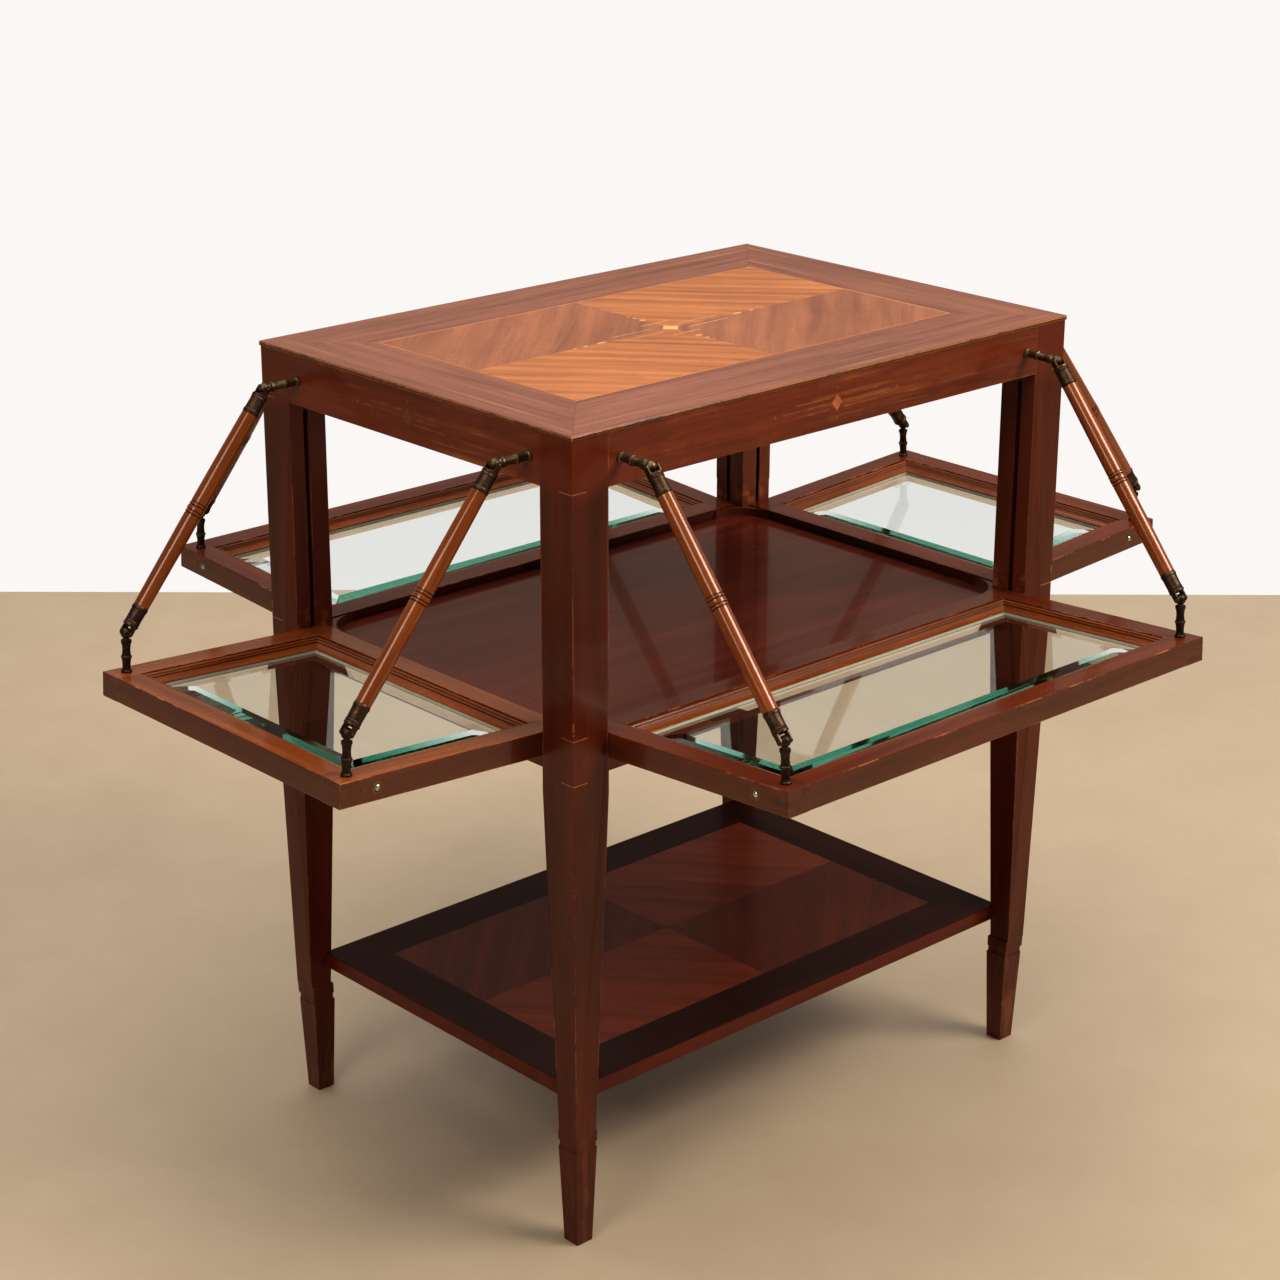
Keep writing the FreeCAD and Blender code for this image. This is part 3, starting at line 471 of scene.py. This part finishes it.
def timber_finish(name, dark, light, bare, figure=1.0, ribbon=0.0, ribbon_width=0.02, gloss=0.3,
                  coat=0.5, coat_rough=0.1, shine=0.4, wear=0.5, wear_width=0.0015, pores=0.35,
                  bump=0.12, on_board=True,
                  extra=None):
    """Stained and polished wood: dark and light stain, bare wood where it is rubbed."""
    material, tree, out = new_material(name)
    if on_board:
        axes = add(tree, "Attribute", attribute_name="grain").outputs["Vector"]
    else:
        axes = add(tree, "TexCoord").outputs["Object"]
    wood = use(tree, grain_group, Axes=axes, Figure=figure, Ribbon_width=ribbon_width)
    marks = use(tree, mark_group, Axes=axes)
    edges = use(tree, edge_group, Axes=axes, Width=wear_width,
                Amount=wear(tree) if callable(wear) else wear)
    tone = math_of(tree, "MULTIPLY_ADD", wood["Fibre"], 0.35,
                   math_of(tree, "MULTIPLY", wood["Tone"], 0.75))
    tone = math_of(tree, "MULTIPLY_ADD", math_of(tree, "SUBTRACT", wood["Ribbon"], 0.5), ribbon, tone,
                   clamp=True)
    stain = blend_of(tree, tone, dark, light)
    shade = spread_of(tree, marks["Haze"], 0.3, 0.7, 0.88, 1.1)
    grey = add(tree, "CombineColor", {0: shade, 1: shade, 2: shade}).outputs[0]
    stain = blend_of(tree, 1.0, stain, grey, "MULTIPLY")
    in_pore = tuple(c * 0.3 for c in dark[:3]) + (1,)
    stain = blend_of(tree, math_of(tree, "MULTIPLY", wood["Pores"], pores), stain, in_pore)
    if extra:
        stain = extra(tree, stain, wood)
    rubbed = blend_of(tree, edges["Mask"], stain, bare)
    rough = math_of(tree, "MULTIPLY_ADD", marks["Haze"], 0.16, gloss - 0.08)
    rough = math_of(tree, "MULTIPLY_ADD", marks["Scratches"], 0.12, rough)
    rough = math_of(tree, "MULTIPLY_ADD", edges["Mask"], 0.25, rough)
    relief = math_of(tree, "SUBTRACT", wood["Height"],
                     math_of(tree, "MULTIPLY", marks["Scratches"], 0.5))
    normal = add(tree, "Bump", {"Height": relief, "Strength": bump, "Distance": 0.0003})
    skin = add(tree, "BsdfPrincipled",
               {"Base Color": rubbed, "Roughness": rough, "Normal": normal.outputs[0], "Coat Weight": coat,
                "Coat Roughness": coat_rough, "Specular IOR Level": shine})
    tree.links.new(skin.outputs[0], out.inputs["Surface"])
    return material


def place_of(tree):
    """A point, its distance sideways and to front or back, and its height, in metres."""
    point = add(tree, "TexCoord").outputs["Object"]
    x, y, z = add(tree, "SeparateXYZ", {0: point}).outputs
    return point, math_of(tree, "ABSOLUTE", x), math_of(tree, "ABSOLUTE", y), z


def post_wear(tree):
    """Posts are rubbed below the frieze; beside it the veneer runs on without an edge."""
    return spread_of(tree, place_of(tree)[3], 0.712, 0.706, -1.5, 0.72)


def post_marks(tree, stain, wood):
    """Pins rub the jambs above the shelf; shoes and brooms scuff the spade feet."""
    point, x, y, z = place_of(tree)
    rub = add(tree, "TexNoise",
              {"Vector": point, "Scale": 70.0, "Detail": 5.0, "Roughness": 0.7}).outputs["Fac"]
    inner = math_of(tree, "MAXIMUM", math_of(tree, "LESS_THAN", x, 0.272),
                    math_of(tree, "LESS_THAN", y, 0.1755))
    band = math_of(tree, "MULTIPLY", spread_of(tree, z, 0.484, 0.488), spread_of(tree, z, 0.522, 0.5))
    bare = math_of(tree, "MULTIPLY", math_of(tree, "MULTIPLY", inner, band),
                   spread_of(tree, rub, 0.48, 0.66, 0.0, 0.7))
    stain = blend_of(tree, math_of(tree, "MULTIPLY", inner, 0.6), stain, colour(122, 62, 40))
    stain = blend_of(tree, bare, stain, colour(196, 120, 76))
    stain = blend_of(tree, spread_of(tree, z, 0.7, 0.72, 0.0, 0.55), stain, colour(118, 48, 24))
    drag = add(tree, "Mapping", {"Vector": point, "Scale": (60.0, 60.0, 14.0)}).outputs[0]
    scuff = add(tree, "TexNoise",
                {"Vector": drag, "Scale": 1.0, "Detail": 6.0, "Roughness": 0.7}).outputs["Fac"]
    scuff = math_of(tree, "MULTIPLY", spread_of(tree, scuff, 0.5, 0.68),
                    spread_of(tree, z, 0.17, 0.05, 0.0, 0.6))
    return blend_of(tree, scuff, stain, colour(142, 88, 56))


def apron_marks(tree, stain, wood):
    """Level scratches and a faded patch where hands take hold of the frieze."""
    point = place_of(tree)[0]
    drag = add(tree, "Mapping", {"Vector": point, "Scale": (7.0, 7.0, 260.0)}).outputs[0]
    fine = add(tree, "TexNoise",
               {"Vector": drag, "Scale": 1.0, "Detail": 4.0, "Roughness": 0.65}).outputs["Fac"]
    patch = add(tree, "TexNoise",
                {"Vector": point, "Scale": 9.0, "Detail": 4.0, "Roughness": 0.6}).outputs["Fac"]
    faded = math_of(tree, "MULTIPLY", spread_of(tree, fine, 0.5, 0.66),
                    spread_of(tree, patch, 0.48, 0.62, 0.0, 0.6))
    return blend_of(tree, faded, stain, colour(176, 108, 60))


def crazing(tree, stain, wood):
    """Fine cracks that open along the grain of old veneer, and lengthwise streaks."""
    axes = add(tree, "Attribute", attribute_name="grain").outputs["Vector"]
    drag = add(tree, "Mapping", {"Vector": axes, "Scale": (3.0, 130.0, 130.0)}).outputs[0]
    line = add(tree, "TexNoise",
               {"Vector": drag, "Scale": 1.0, "Detail": 4.0, "Roughness": 0.6}).outputs["Fac"]
    crack = spread_of(tree, line, 0.60, 0.66, 0.0, 0.42)
    pale = spread_of(tree, line, 0.42, 0.34, 0.0, 0.28)
    stain = blend_of(tree, pale, stain, colour(206, 150, 116))
    return blend_of(tree, crack, stain, colour(84, 46, 32))


BARE = colour(176, 112, 62)
post_finish = timber_finish("Post mahogany", colour(60, 20, 8), colour(106, 44, 20), BARE, gloss=0.34,
                            coat=0.15, shine=0.25, wear=post_wear, wear_width=0.002, extra=post_marks)
apron_finish = timber_finish("Apron mahogany", colour(78, 26, 10), colour(132, 58, 28), BARE,
                             gloss=0.36, coat=0.2, shine=0.3, wear=0.7, extra=apron_marks)
flap_edge = timber_finish("Flap edge mahogany", colour(56, 22, 10), colour(108, 52, 26), BARE,
                          gloss=0.3, coat=0.4, shine=0.3, wear=0.75)
flap_face = timber_finish("Flap face mahogany", colour(66, 24, 10), colour(124, 54, 24), BARE,
                          gloss=0.28, coat=0.55, wear=0.7)
# A lighter, golden copy of the flap face finish, used on the left flap only: painted light.
flap_face_painted_lit = timber_finish("Flap face mahogany painted lit", colour(94, 42, 16), colour(170, 92, 38), BARE,
                          gloss=0.26, coat=0.7, wear=0.7)
bead_finish = timber_finish("Golden bead mahogany", colour(82, 36, 14), colour(164, 88, 40),
                            colour(214, 150, 84), gloss=0.25, coat=0.7, wear=0.55, wear_width=0.0008,
                            figure=1.6)
border_finish = timber_finish("Faded border veneer", colour(108, 66, 52), colour(160, 106, 86),
                              colour(196, 124, 70), gloss=0.4, coat=0.4, coat_rough=0.25, wear=0.5,
                              wear_width=0.001, pores=0.35, figure=1.3, extra=crazing)
# Two copies of one ribbon veneer: the lighter and the darker leaf colours are painted light and painted shade.
top_leaf_painted_lit = timber_finish("Ribbon veneer painted lit", colour(146, 82, 48), colour(208, 136, 84),
                           colour(220, 150, 90), ribbon=0.26, ribbon_width=0.022, gloss=0.38, coat=0.4,
                           coat_rough=0.25, wear=0.0)
top_leaf_painted_shade = timber_finish("Ribbon veneer painted shade", colour(124, 74, 54), colour(184, 120, 86),
                          colour(200, 130, 84), ribbon=0.12, ribbon_width=0.03, gloss=0.38, coat=0.4,
                          coat_rough=0.25, wear=0.0)
slab_finish = timber_finish("Top board mahogany", colour(60, 24, 12), colour(116, 54, 26),
                            colour(214, 134, 66), gloss=0.34, wear=0.95, wear_width=0.002)
shelf_finish = timber_finish("Dark shelf polish", colour(68, 22, 12), colour(122, 52, 32), BARE,
                             gloss=0.24, coat=0.5, coat_rough=0.05, shine=0.25, wear=0.5, pores=0.2,
                             bump=0.06)
block_finish = timber_finish("Corner block mahogany", colour(66, 26, 12), colour(124, 58, 30), BARE,
                             gloss=0.3, coat=0.4, wear=0.6)
low_border = timber_finish("Dark lower border", colour(30, 11, 6), colour(58, 24, 13), BARE, gloss=0.4,
                           coat=0.06, coat_rough=0.12, shine=0.1, wear=0.5, pores=0.2, bump=0.08)
# A lighter and a darker copy of one lower leaf finish: painted light and painted shade on the leaves.
lower_leaf_painted_lit = timber_finish("Lower leaf painted lit", colour(80, 30, 13), colour(138, 60, 29), BARE,
                          ribbon=0.04, ribbon_width=0.024, gloss=0.38, coat=0.12, coat_rough=0.12,
                          shine=0.15, wear=0.0, pores=0.2, bump=0.08)
lower_leaf_painted_shade = timber_finish("Lower leaf painted shade", colour(64, 24, 11), colour(106, 44, 22), BARE, ribbon=0.03,
                         ribbon_width=0.04, gloss=0.38, coat=0.12, coat_rough=0.12, shine=0.15,
                         wear=0.0, pores=0.2, bump=0.08)
low_edge = timber_finish("Lower shelf edge", colour(66, 20, 10), colour(112, 42, 22),
                         colour(190, 110, 70), gloss=0.36, coat=0.12, shine=0.2, wear=0.5)
plain_wood = timber_finish("Plain inside wood", colour(120, 84, 52), colour(168, 126, 84),
                           colour(180, 140, 96), gloss=0.6, coat=0.0, on_board=False)
print("finishes", len(bpy.data.materials))

# %% [markdown]
# ## Legs
# Each leg is one square post with two pin grooves, a long taper, a neck and a spade foot.
# The measured solid already has that shape, so it is cut into a board with softened arrises
# and its grain set upright.

# %% Legs
for corner in ("front_left", "front_right", "back_right", "back_left"):
    dressed("Leg_" + corner, "leg_" + corner, "case", [post_finish],
            lays=lambda number, bm: (0, 0, 1))

# %% [markdown]
# ## Aprons, top board and veneers
# The border is laid with its grain along each edge and mitred at the corners. The field is
# quartered: the grain of each leaf lies on a slant, and opposite leaves match; two of them
# are painted lighter, as lit, and two darker, as shaded, for how they catch the light.

# %% Aprons and top
dressed("Aprons_long", "aprons_long", "case", [apron_finish])
dressed("Aprons_side", "aprons_side", "case", [apron_finish])
dressed("Top_board", "top_board", "case", [slab_finish], soften=0.0005)
dressed("Top_border", "top_border_veneers", "case", [border_finish], soften=0.0003)


def slant(number, bm):
    """Opposite leaves share one slant of the grain."""
    centre = sum((v.co for v in bm.verts), Vector()) / len(bm.verts)
    angle = math.radians(-48 if centre.x * centre.y > 0 else 44)
    return (math.cos(angle), math.sin(angle), 0)


def leaf_lit_or_shaded(number, face):
    """Leaves painted lit on the diagonal that runs from near left to far right; the other two are painted shade.
    """
    centre = face.calc_center_median()
    return 0 if centre.x * centre.y > 0 else 1


dressed("Top_leaves", "top_field_veneers", "case", [top_leaf_painted_lit, top_leaf_painted_shade], soften=0,
        pick=leaf_lit_or_shaded, lays=slant)

# %% [markdown]
# ## Shelves
# The middle shelf is one dark board under a mirror-like polish, with small hollow blocks in
# its corners. The lower shelf has a nearly black border round four slanted leaves.

# %% Shelves
dressed("Shelf_board", "shelf_board", "case", [shelf_finish])
dressed("Shelf_corner_blocks", "shelf_corner_fillers", "case", [block_finish],
        soften=0.0003)
dressed("Shelf_rails", "shelf_rails", "case", [post_finish])
dressed("Lower_shelf_board", "lower_shelf_board", "case", [low_edge])


def low_lay(number, bm):
    """Border strips along their edge, leaves on the slant."""
    return None if number < 4 else slant(number, bm)


def low_kind(number, face):
    """Border, painted-lit leaf or painted-shade leaf."""
    return 2 if number < 4 else leaf_lit_or_shaded(number, face)


dressed("Lower_shelf_veneers", "lower_shelf_veneers", "case",
        [lower_leaf_painted_lit, lower_leaf_painted_shade, low_border], soften=0, pick=low_kind, lays=low_lay)

# %% [markdown]
# ## Flaps and their beads
# A flap is two stiles and two rails with a moulded bead that holds the glass. The frame
# members are boards like the rest; the bead keeps its small curved steps, so it is shaded
# smooth across them and left sharp at the quirks.

# %% Flaps
QUIRKS = [(-0.5, 0.45), (3.25, 4.25), (6.25, 7.25)]     # mm from the frame towards the glass
# Dark colour in the bead's fine grooves: painted shade.
quirk_painted_shade = timber_finish("Quirk painted shade", colour(34, 14, 6), colour(72, 32, 14), colour(110, 62, 34),
                           gloss=0.4, coat=0.2, wear=0.0)

for side in SIDES:
    body = "flap_" + side
    low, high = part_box(body + "_beads")

    def bead_kind(number, face):
        """Painted shade darkens the fine grooves beside the two reeds."""
        x, y, z = face.calc_center_median()
        inward = 1000 * min(x - low[0], high[0] - x, y - low[1], high[1] - y)
        return int(face.normal.z > 0.1 and any(a < inward < b for a, b in QUIRKS))

    # The left flap's faces are painted lighter, as lit.
    face_finish = flap_face_painted_lit if side == "left" else flap_face
    dressed("Flap_frame_" + side, body + "_frame", body, [flap_edge, face_finish],
            soften=0.0007, shortest=0.06, pick=lambda number, face: int(abs(face.normal.z) > 0.7))
    dressed("Flap_beads_" + side, body + "_beads", body, [bead_finish, quirk_painted_shade], soften=0,
            pick=bead_kind, smooth=35)

# %% [markdown]
# ## Brass and steel
# The fittings were bright once. Now a brown-black patina covers them and only rubbed edges
# show bright metal, so colour and roughness follow one worn mask, and metalness stays full.

# %% Metals
def metal_finish(name, base, patina, shown, rough):
    """Old metal: a patina over a base colour, rubbed through on the edges."""
    material, tree, out = new_material(name)
    axes = add(tree, "TexCoord").outputs["Object"]
    edges = use(tree, edge_group, Axes=axes, Width=0.0008, Amount=0.9)
    cloud = add(tree, "TexNoise", {"Vector": axes, "Scale": 160.0, "Detail": 5.0, "Roughness": 0.7})
    patch = spread_of(tree, cloud.outputs["Fac"], 0.42, 0.66)
    bright = math_of(tree, "MULTIPLY_ADD", edges["Mask"], 0.8, math_of(tree, "MULTIPLY", patch, shown),
                     clamp=True)
    tint = blend_of(tree, bright, patina, base)
    dull = math_of(tree, "MULTIPLY_ADD", math_of(tree, "SUBTRACT", 1.0, bright), 0.22, rough)
    pits = add(tree, "Bump", {"Height": cloud.outputs["Fac"], "Strength": 0.15, "Distance": 0.0003})
    skin = add(tree, "BsdfPrincipled", {"Base Color": tint, "Roughness": dull, "Metallic": 1.0,
                                        "Normal": pits.outputs[0]})
    tree.links.new(skin.outputs[0], out.inputs["Surface"])
    return material


old_brass = metal_finish("Old brass", colour(176, 150, 112), colour(88, 78, 62), 0.4, 0.3)
# The flap studs get a darker copy of the brass than the apron studs.
dark_brass = metal_finish("Darker brass", colour(132, 112, 90), colour(58, 50, 44), 0.3, 0.28)
dark_bronze = metal_finish("Dark bronze sleeve", colour(150, 122, 98), colour(74, 58, 48), 0.25, 0.3)
bright_steel = metal_finish("Bright steel", colour(240, 238, 234), colour(190, 188, 184), 0.95, 0.18)
METAL_OF = (("apron_studs", old_brass), ("flap_", dark_brass), ("ferrule", dark_bronze),
            ("pivot_pins", old_brass), ("catches", old_brass), ("catch_ball", bright_steel),
            ("frieze_screws", bright_steel), ("frieze_blocks", plain_wood))
for node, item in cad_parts.items():
    for word, finish in METAL_OF:
        if word in node and (word != "flap_" or "studs" in node):
            item.data.materials[0] = finish
            print(node, "is", finish.name)

# %% [markdown]
# ## Inlay
# Lines, dots and diamonds are let into the veneer in pale boxwood. They are small, so a fine
# fibre and a little grime are enough.

# %% Inlay
inlay_finish = timber_finish("Boxwood inlay", colour(204, 146, 88), colour(240, 194, 130),
                             colour(244, 204, 142), gloss=0.35, wear=0.2, pores=0.3)
bright_inlay = timber_finish("Orange apron diamond", colour(156, 78, 34), colour(206, 118, 60), BARE,
                             gloss=0.35, wear=0.2, pores=0.3)
apron_inlay = timber_finish("Apron lines", colour(112, 56, 30), colour(156, 86, 48), BARE, gloss=0.35,
                            wear=0.2, pores=0.3)
# The lines on the side aprons get a darker copy of the apron line finish.
faint_inlay = timber_finish("Darker side apron lines", colour(86, 40, 20), colour(126, 64, 34), BARE, gloss=0.35,
                            wear=0.2, pores=0.3)
string_inlay = timber_finish("Post strings", colour(134, 74, 40), colour(176, 106, 60), BARE,
                             gloss=0.35, wear=0.2, pores=0.3)
shelf_inlay = timber_finish("Shelf string", colour(70, 26, 14), colour(108, 50, 28), BARE, gloss=0.25,
                            coat=0.5, wear=0.0, pores=0.2)


def inlay_kind(number, face):
    """Front diamonds, apron lines, side aprons, post strings and the line on the shelf."""
    x, y, z = face.calc_center_median()
    if z < 0.4835 and z > 0.4815:
        return 4
    if z < 0.72 or (abs(x) > 0.27 and abs(y) > 0.174):
        return 3
    if abs(x) > 0.3:
        return 2
    return 0 if abs(x) < 0.0085 and abs(z - 0.734) < 0.0095 else 1


line_finish = timber_finish("Field line", colour(176, 106, 62), colour(220, 146, 92), BARE, gloss=0.38,
                            wear=0.1, pores=0.4)
FIELD_HALF = (0.2335, 0.1335)     # metres from the middle of the top to just inside the field line


def top_line_kind(number, face):
    """The motif is pale boxwood; the line round the field is a little darker."""
    centre = face.calc_center_median()
    return int(max(abs(centre.x) / FIELD_HALF[0], abs(centre.y) / FIELD_HALF[1]) > 1)


dressed("Top_lines_and_motif", "top_lines_and_motif", "case", [inlay_finish, line_finish],
        soften=0, pick=top_line_kind)
dressed("Frieze_and_post_lines", "case_inlay", "case",
        [bright_inlay, apron_inlay, faint_inlay, string_inlay, shelf_inlay], soften=0, pick=inlay_kind)

# %% [markdown]
# ## Turned stays
# The stays are slim turned rods with three small rings in the middle and a lacquer so clear
# that it draws one bright line. A lathe makes them from a profile, so here a profile is spun
# about each measured rod's own axis.

# %% Turned stays
lacquer = timber_finish("Lacquered rod", colour(78, 34, 10), colour(160, 86, 36), colour(200, 130, 66),
                        gloss=0.24, coat=0.6, coat_rough=0.02, shine=0.25, wear=0.15, pores=0.3,
                        bump=0.015)
# Dark colour in the grooves between the rings: painted shade.
groove_painted_shade = timber_finish("Groove painted shade", colour(30, 12, 5), colour(64, 28, 12), colour(90, 50, 28),
                            gloss=0.4, coat=0.2, wear=0.0)
# the rod's outline: share of its length, radius in mm
RINGS = [(0.0, 6.0), (0.073, 6.0), (0.0745, 7.0), (0.25, 7.35), (0.42, 7.6), (0.4745, 7.65), (0.4755, 6.9),
         (0.4775, 6.9), (0.4785, 7.7), (0.4830, 8.0), (0.4875, 7.7), (0.4885, 6.9), (0.4905, 6.9), (0.4915, 7.8),
         (0.5000, 8.1), (0.5085, 7.8), (0.5095, 6.9), (0.5115, 6.9), (0.5125, 7.7), (0.5170, 8.0), (0.5215, 7.7),
         (0.5225, 6.9), (0.5245, 6.9), (0.5255, 7.65), (0.58, 7.6), (0.75, 7.35), (0.9255, 7.0), (0.927, 6.0),
         (1.0, 6.0)]
GROOVES = [(0.4746, 0.4784), (0.4876, 0.4914), (0.5086, 0.5124), (0.5216, 0.5254)]


def rod_axis(faces):
    """Two ends of a turned solid, from its corner points."""
    points = np.array(sorted({i for ids in faces for i in ids}), float) / 1e6
    centre = points.mean(0)
    way = np.linalg.eigh(np.cov((points - centre).T))[1][:, -1]
    reach = (points - centre) @ way
    return Vector(centre + way * reach.min()), Vector(centre + way * reach.max())


def lathe(profile, start, end, around=40):
    """bmesh spun from (share of length, radius in mm) about a line."""
    way = end - start
    side = way.orthogonal().normalized()
    other = way.normalized().cross(side)
    bm = bmesh.new()
    bm.faces.layers.float.new("arris")
    rings = []
    for share, radius in profile:
        ring = [bm.verts.new(start + way * share + (side * math.cos(t) + other * math.sin(t)) * radius / 1000)
                for t in (2 * math.pi * k / around for k in range(around))]
        rings.append(ring)
    for low, high in zip(rings, rings[1:]):
        for k in range(around):
            bm.faces.new((low[k], low[(k + 1) % around], high[(k + 1) % around], high[k]))
    bm.faces.new(rings[0][::-1])
    bm.faces.new(rings[-1])
    bm.normal_update()
    return bm


for side in SIDES:
    ends = [rod_axis(faces) for faces in solids_of("stay_rods_" + side)]
    rods = [lathe(RINGS, a, b) for a, b in ends]

    def rod_kind(number, face):
        """Painted shade darkens the grooves between the rings."""
        a, b = ends[number]
        share = (face.calc_center_median() - a).dot(b - a) / (b - a).length_squared
        return int(any(low < share < high for low, high in GROOVES))

    piece = put_together("Stays_" + side, rods, [lacquer, groove_painted_shade], rod_kind,
                         lays=lambda number, bm: ends[number][1] - ends[number][0], smooth=50)
    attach(piece, "stays_" + side)
    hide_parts("stay_rods_" + side)
    print(piece.name, "length", round((ends[0][1] - ends[0][0]).length, 4))

# %% [markdown]
# ## Glass
# The panes are thick plates with a wide bevel. Clear glass drinks a little red and blue, and
# light that runs along inside a plate comes out green. The colour therefore sits in the
# volume and not on the surface, and the bevel makes the green band by itself. The rim of a
# plate is ground, so its edge faces are pale and matte and send light back into the pane.

# %% Glass
clear_glass, tree, out = new_material("Bevelled plate glass")
axes = add(tree, "TexCoord").outputs["Object"]
film = add(tree, "TexNoise", {"Vector": axes, "Scale": 12.0, "Detail": 3.0})
film_rough = spread_of(tree, film.outputs["Fac"], 0.45, 0.8, 0.0, 0.03)
pane = add(tree, "BsdfPrincipled", {"Base Color": (1, 1, 1, 1), "Roughness": film_rough, "IOR": 1.5,
                                    "Transmission Weight": 1.0})
tree.links.new(pane.outputs[0], out.inputs["Surface"])
drink = add(tree, "VolumeAbsorption", {"Color": (0.04, 0.56, 0.41, 1), "Density": 10.0})
tree.links.new(drink.outputs[0], out.inputs["Volume"])
ground_edge, tree, out = new_material("Ground glass edge")
axes = add(tree, "TexCoord").outputs["Object"]
grit = add(tree, "TexNoise", {"Vector": axes, "Scale": 400.0, "Detail": 3.0})
matte = blend_of(tree, grit.outputs["Fac"], colour(176, 178, 162), colour(208, 208, 192))
edge = add(tree, "BsdfPrincipled",
           {"Base Color": matte, "Roughness": spread_of(tree, grit.outputs["Fac"], 0.3, 0.7, 0.6, 0.85)})
tree.links.new(edge.outputs[0], out.inputs["Surface"])
for side in SIDES:
    dressed("Pane_" + side, "flap_" + side + "_glass", "flap_" + side,
            [clear_glass, ground_edge], soften=0, pick=lambda number,
            face: int(abs(face.normal.z) < 0.3))
